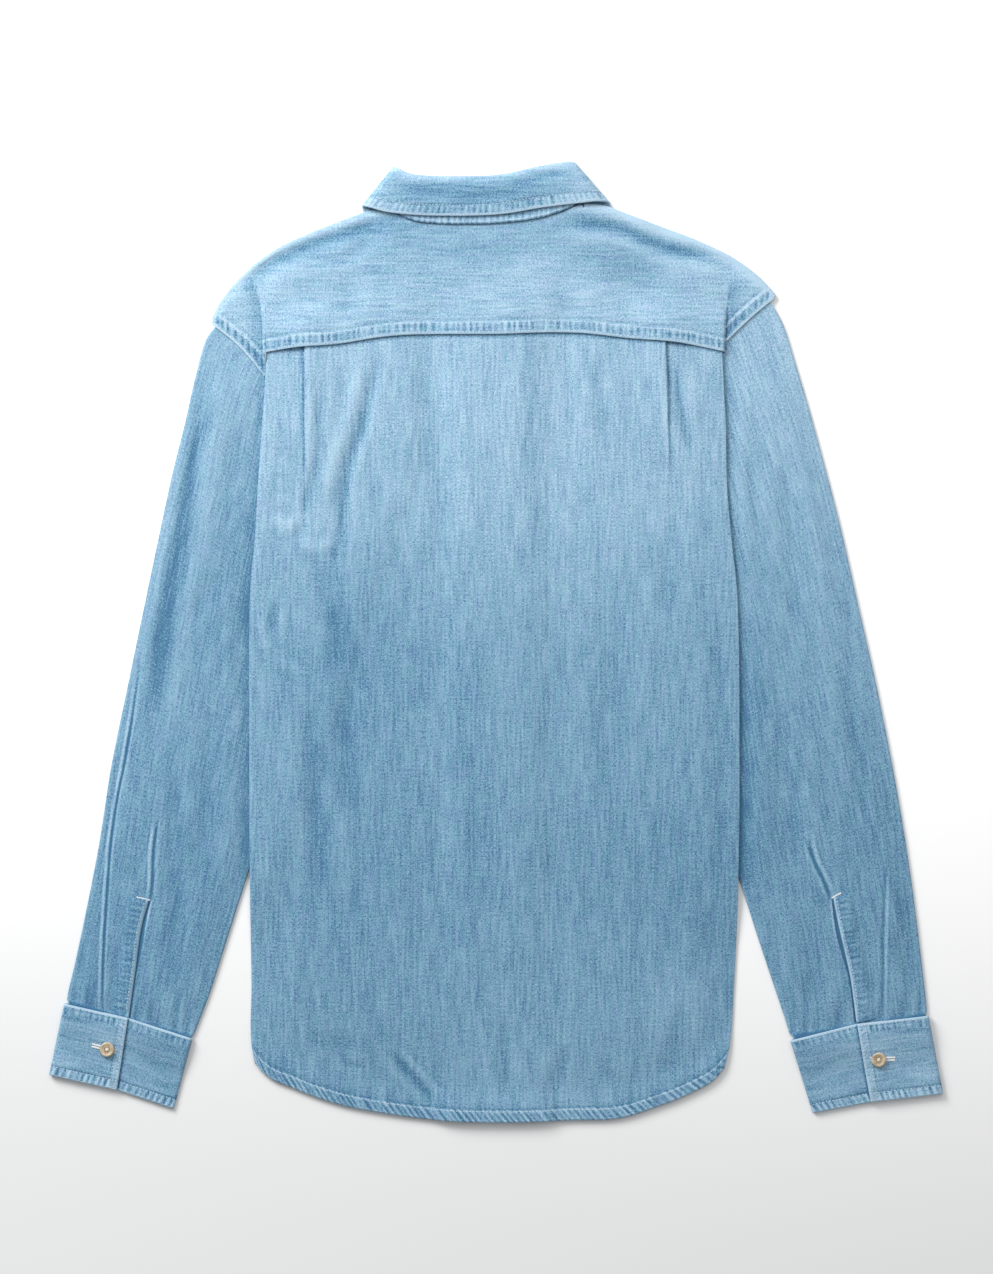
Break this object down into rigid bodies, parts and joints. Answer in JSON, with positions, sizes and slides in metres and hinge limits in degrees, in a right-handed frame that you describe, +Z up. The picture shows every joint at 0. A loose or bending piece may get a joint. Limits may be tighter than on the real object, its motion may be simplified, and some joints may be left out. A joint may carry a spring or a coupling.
{
  "type": "denim shirt",
  "caption": "Long-sleeved light blue denim shirt with yoke, collar and buttoned cuffs, laid flat with its back up.",
  "frame": {"origin": "on the table, under the middle of the shirt's outline", "axes": "+Z up from the table, +Y to the collar, +X to the right seen from above, which is the wearer's right"},
  "size_m": [0.7323, 0.7855, 0.0132],
  "materials": {
    "body_denim": "light washed blue denim, slubs up and down, paler at the top",
    "yoke_denim": "pale washed blue denim, slubs across",
    "sleeve_denim": "washed blue denim, slubs along the sleeve",
    "cuff_denim": "washed blue denim, slubs along the cuff, worn pale at the edges",
    "collar_denim": "pale washed blue denim, worn at the edges",
    "button_horn": "tan resin with a soft sheen, sewn with pale thread"
  },
  "bodies": {
    "root": {"back": "body_denim", "front_left": "body_denim", "front_right": "body_denim", "yoke": "yoke_denim", "sleeve_left": "sleeve_denim", "sleeve_right": "sleeve_denim", "cuff_left": "cuff_denim", "cuff_right": "cuff_denim", "collar_leaf": "collar_denim", "collar_stand": "collar_denim", "placket_band": "body_denim", "sleeve_placket_left": "sleeve_denim", "sleeve_placket_right": "sleeve_denim", "front_button_1": "button_horn", "front_button_2": "button_horn", "front_button_3": "button_horn", "front_button_4": "button_horn", "front_button_5": "button_horn", "front_button_6": "button_horn", "collar_button": "button_horn", "cuff_button_left": "button_horn", "cuff_button_right": "button_horn"}
  },
  "joints": []
}
